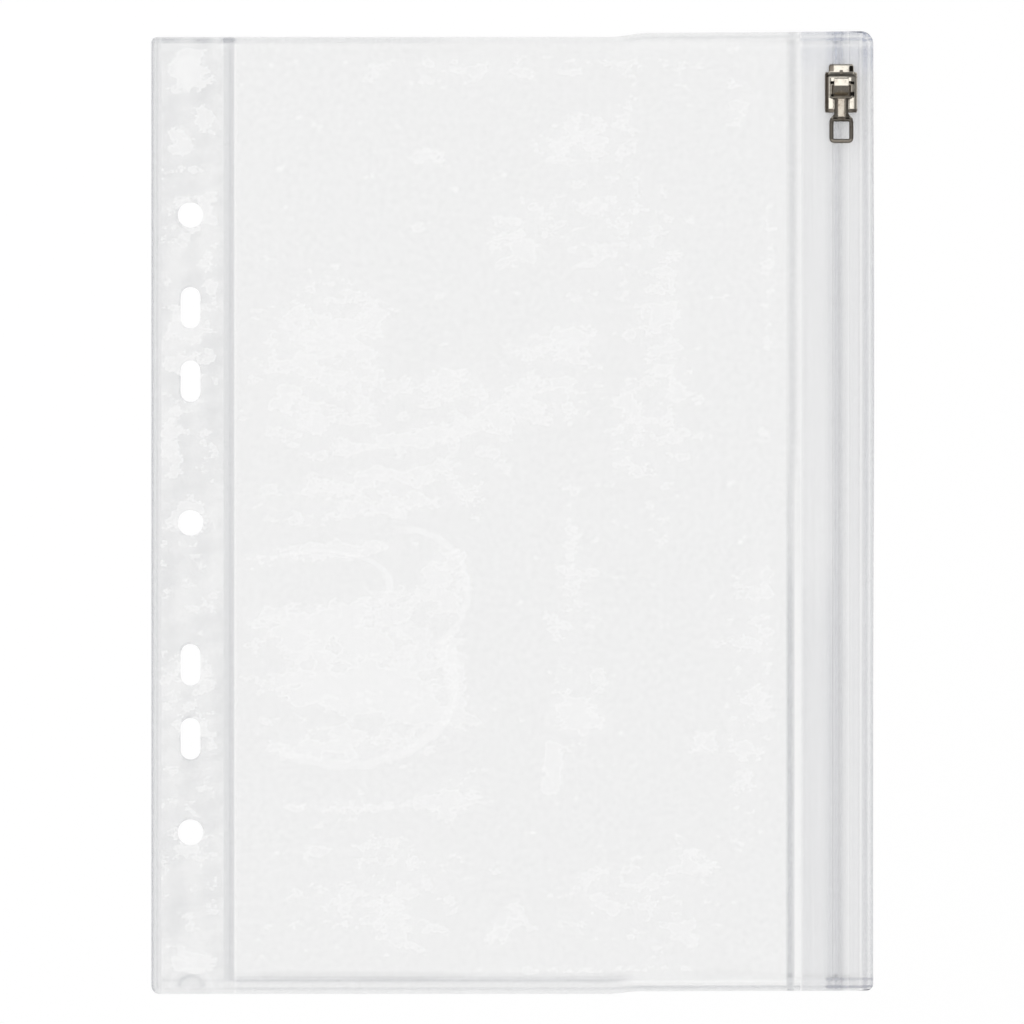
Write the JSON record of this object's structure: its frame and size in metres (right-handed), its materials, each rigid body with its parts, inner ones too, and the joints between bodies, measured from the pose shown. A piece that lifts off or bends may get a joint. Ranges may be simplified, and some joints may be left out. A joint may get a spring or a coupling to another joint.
{
  "type": "document sleeve",
  "caption": "Clear film binder sleeve with a punched edge, a sliding zip closure along its long side and a metal slider with a swinging pull tab.",
  "frame": {"origin": "under the middle of the sleeve, on the surface that its back lies on", "axes": "+X from the punched binding edge to the zip, +Y up the page to the end where the slider rests, +Z out of the sleeve's front"},
  "size_m": [0.1636, 0.2164, 0.0058],
  "materials": {
    "clear_film": "glossy clear soft film",
    "zip_profile": "glossy clear extruded profile, faint violet tint",
    "slider_metal": "bright pale nickel plate"
  },
  "bodies": {
    "sleeve": {"back_film": "clear_film", "front_film": "clear_film", "hook_zip_tape": "zip_profile", "groove_zip_tape": "zip_profile"},
    "slider": {"slider_body": "slider_metal", "slider_bridge": "slider_metal", "slider_wedge": "slider_metal"},
    "pull": {"pull_tab": "slider_metal"}
  },
  "joints": [
    {"name": "slider_travel", "type": "slide", "parent": "sleeve", "child": "slider", "axis": [0, -1, 0], "range_m": [-0.0051, 0.1947]},
    {"name": "pull_swing", "type": "hinge", "parent": "slider", "child": "pull", "pos_m": [0.0745, 0.09715, 0.0046], "axis": [-1, 0, 0], "range_deg": [0, 155]}
  ]
}
